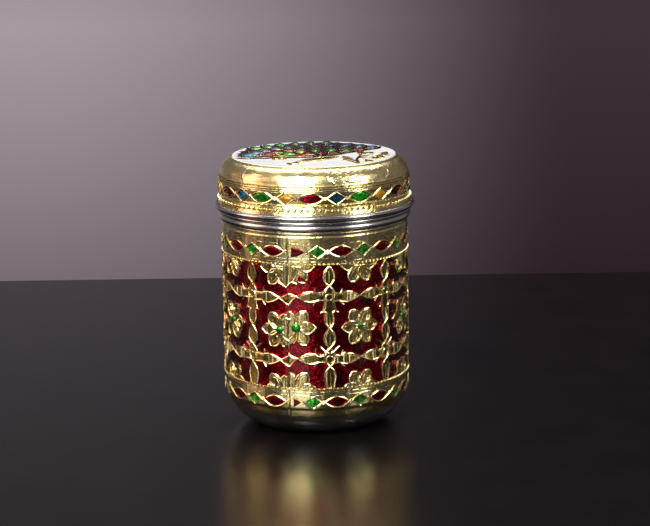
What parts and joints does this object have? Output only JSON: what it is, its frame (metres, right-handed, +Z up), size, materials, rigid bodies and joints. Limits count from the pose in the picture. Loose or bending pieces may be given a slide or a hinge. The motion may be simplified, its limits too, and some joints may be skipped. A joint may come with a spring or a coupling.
{
  "type": "lidded box",
  "caption": "Small round steel box with a push-on lid, wrapped in embossed gold foil with lacquer cells, a flower lattice and a peacock on a white ground.",
  "frame": {"origin": "middle of the jar's flat base, on the surface it stands on", "axes": "+Z up along the box's axis; -Y towards the viewer of the picture, +X to the viewer's right"},
  "size_m": [0.0716, 0.0716, 0.0971],
  "materials": {
    "steel": "polished",
    "gold_foil": "embossed bright gold foil",
    "red_lacquer": "clear red lacquer over foil",
    "green_lacquer": "clear green lacquer over foil",
    "blue_lacquer": "clear blue lacquer over foil",
    "yellow_lacquer": "clear amber lacquer over foil",
    "white_lacquer": "opaque white lacquer",
    "maroon_lacquer": "dark maroon lacquer"
  },
  "bodies": {
    "jar": {"jar_cup": "steel", "jar_foil": "gold_foil", "jar_red_ground": "red_lacquer", "jar_green_cells": "green_lacquer", "jar_red_cells": "red_lacquer", "jar_flower_dots": "green_lacquer"},
    "lid": {"lid_cap": "steel", "lid_top_foil": "gold_foil", "lid_border_foil": "gold_foil", "lid_red_cells": "red_lacquer", "lid_blue_cells": "blue_lacquer", "lid_green_cells": "green_lacquer", "lid_yellow_cells": "yellow_lacquer", "lid_white_ground": "white_lacquer", "peacock_wires": "gold_foil", "peacock_plumes": "maroon_lacquer", "peacock_red_eyes": "red_lacquer", "peacock_blue_eyes": "blue_lacquer", "peacock_green_eyes": "green_lacquer"}
  },
  "joints": [
    {"name": "lid_lift", "type": "slide", "parent": "jar", "child": "lid", "axis": [0, 0, 1], "range_m": [0, 0.045]}
  ]
}
